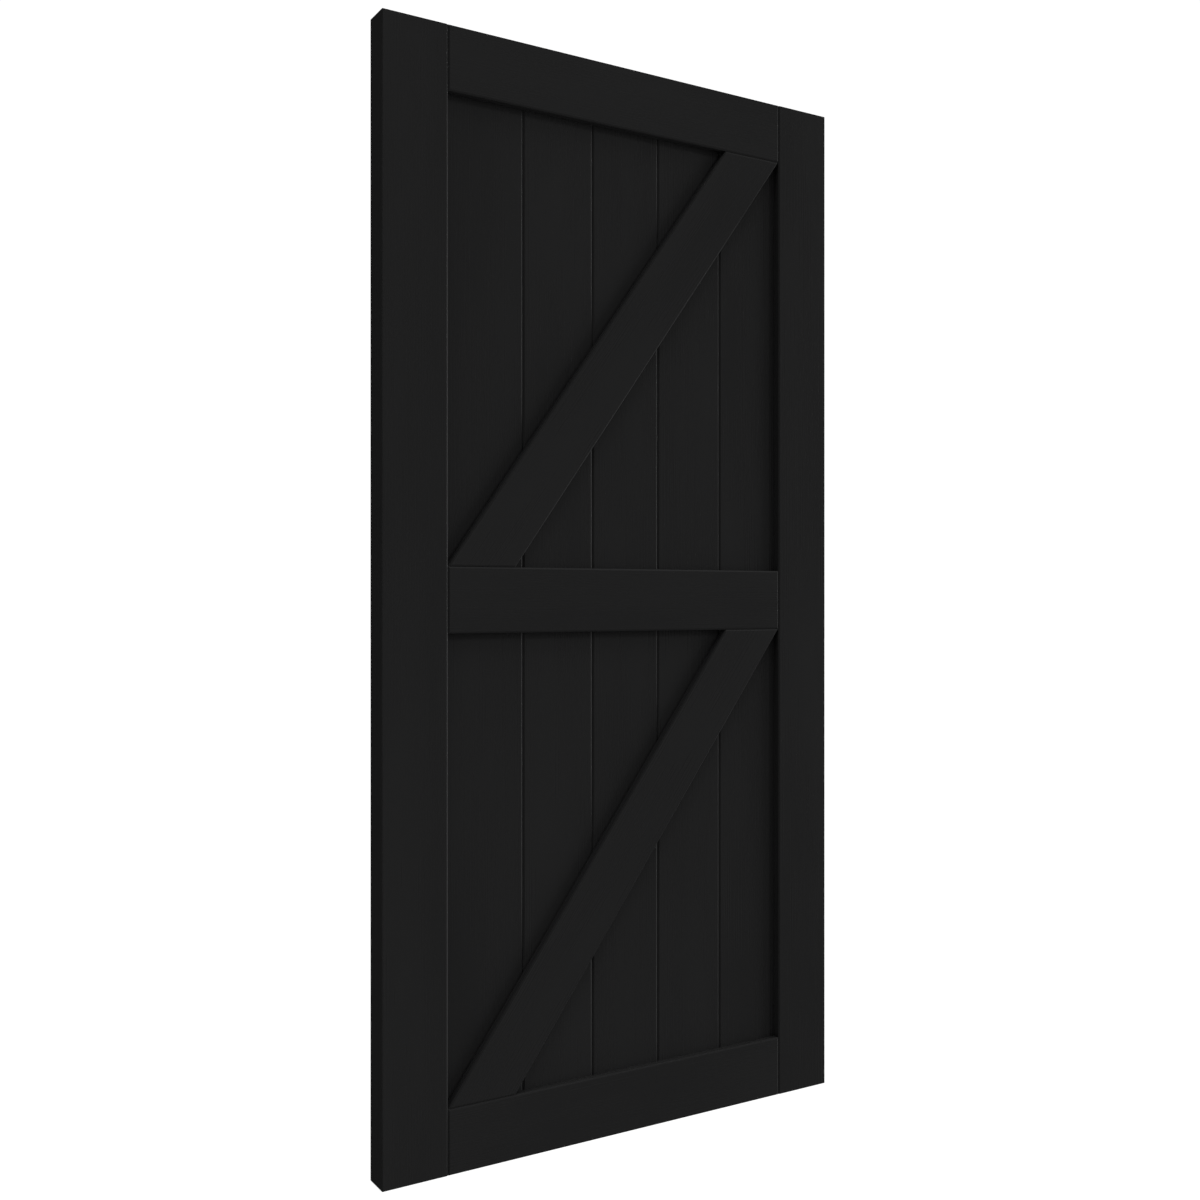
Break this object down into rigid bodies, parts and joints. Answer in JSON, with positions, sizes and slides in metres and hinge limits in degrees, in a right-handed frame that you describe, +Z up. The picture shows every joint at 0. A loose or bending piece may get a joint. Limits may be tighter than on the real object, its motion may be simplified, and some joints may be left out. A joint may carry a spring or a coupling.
{
  "type": "framed ledged and braced door leaf",
  "caption": "Tall black painted timber door leaf: a frame of stiles and rails with rising diagonal braces on the front over upright V-jointed boards.",
  "frame": {"origin": "foot of the hinge edge, in the middle of the door's thickness", "axes": "+X across the door from the hinge edge to the lock edge, +Y from the braced front to the boarded back, +Z up"},
  "size_m": [1, 0.056, 2.05],
  "materials": {
    "stile": "black satin paint over planed timber, grain upright",
    "rail": "black satin paint over planed timber, grain level",
    "brace": "black satin paint over planed timber, grain along the brace",
    "board": "black satin paint over planed tongued and grooved boards, grain upright"
  },
  "bodies": {
    "root": {"hinge_stile": "stile", "lock_stile": "stile", "top_rail": "rail", "middle_ledge": "rail", "bottom_ledge": "rail", "upper_brace": "brace", "lower_brace": "brace", "board_1": "board", "board_2": "board", "board_3": "board", "board_4": "board", "board_5": "board"}
  },
  "joints": []
}
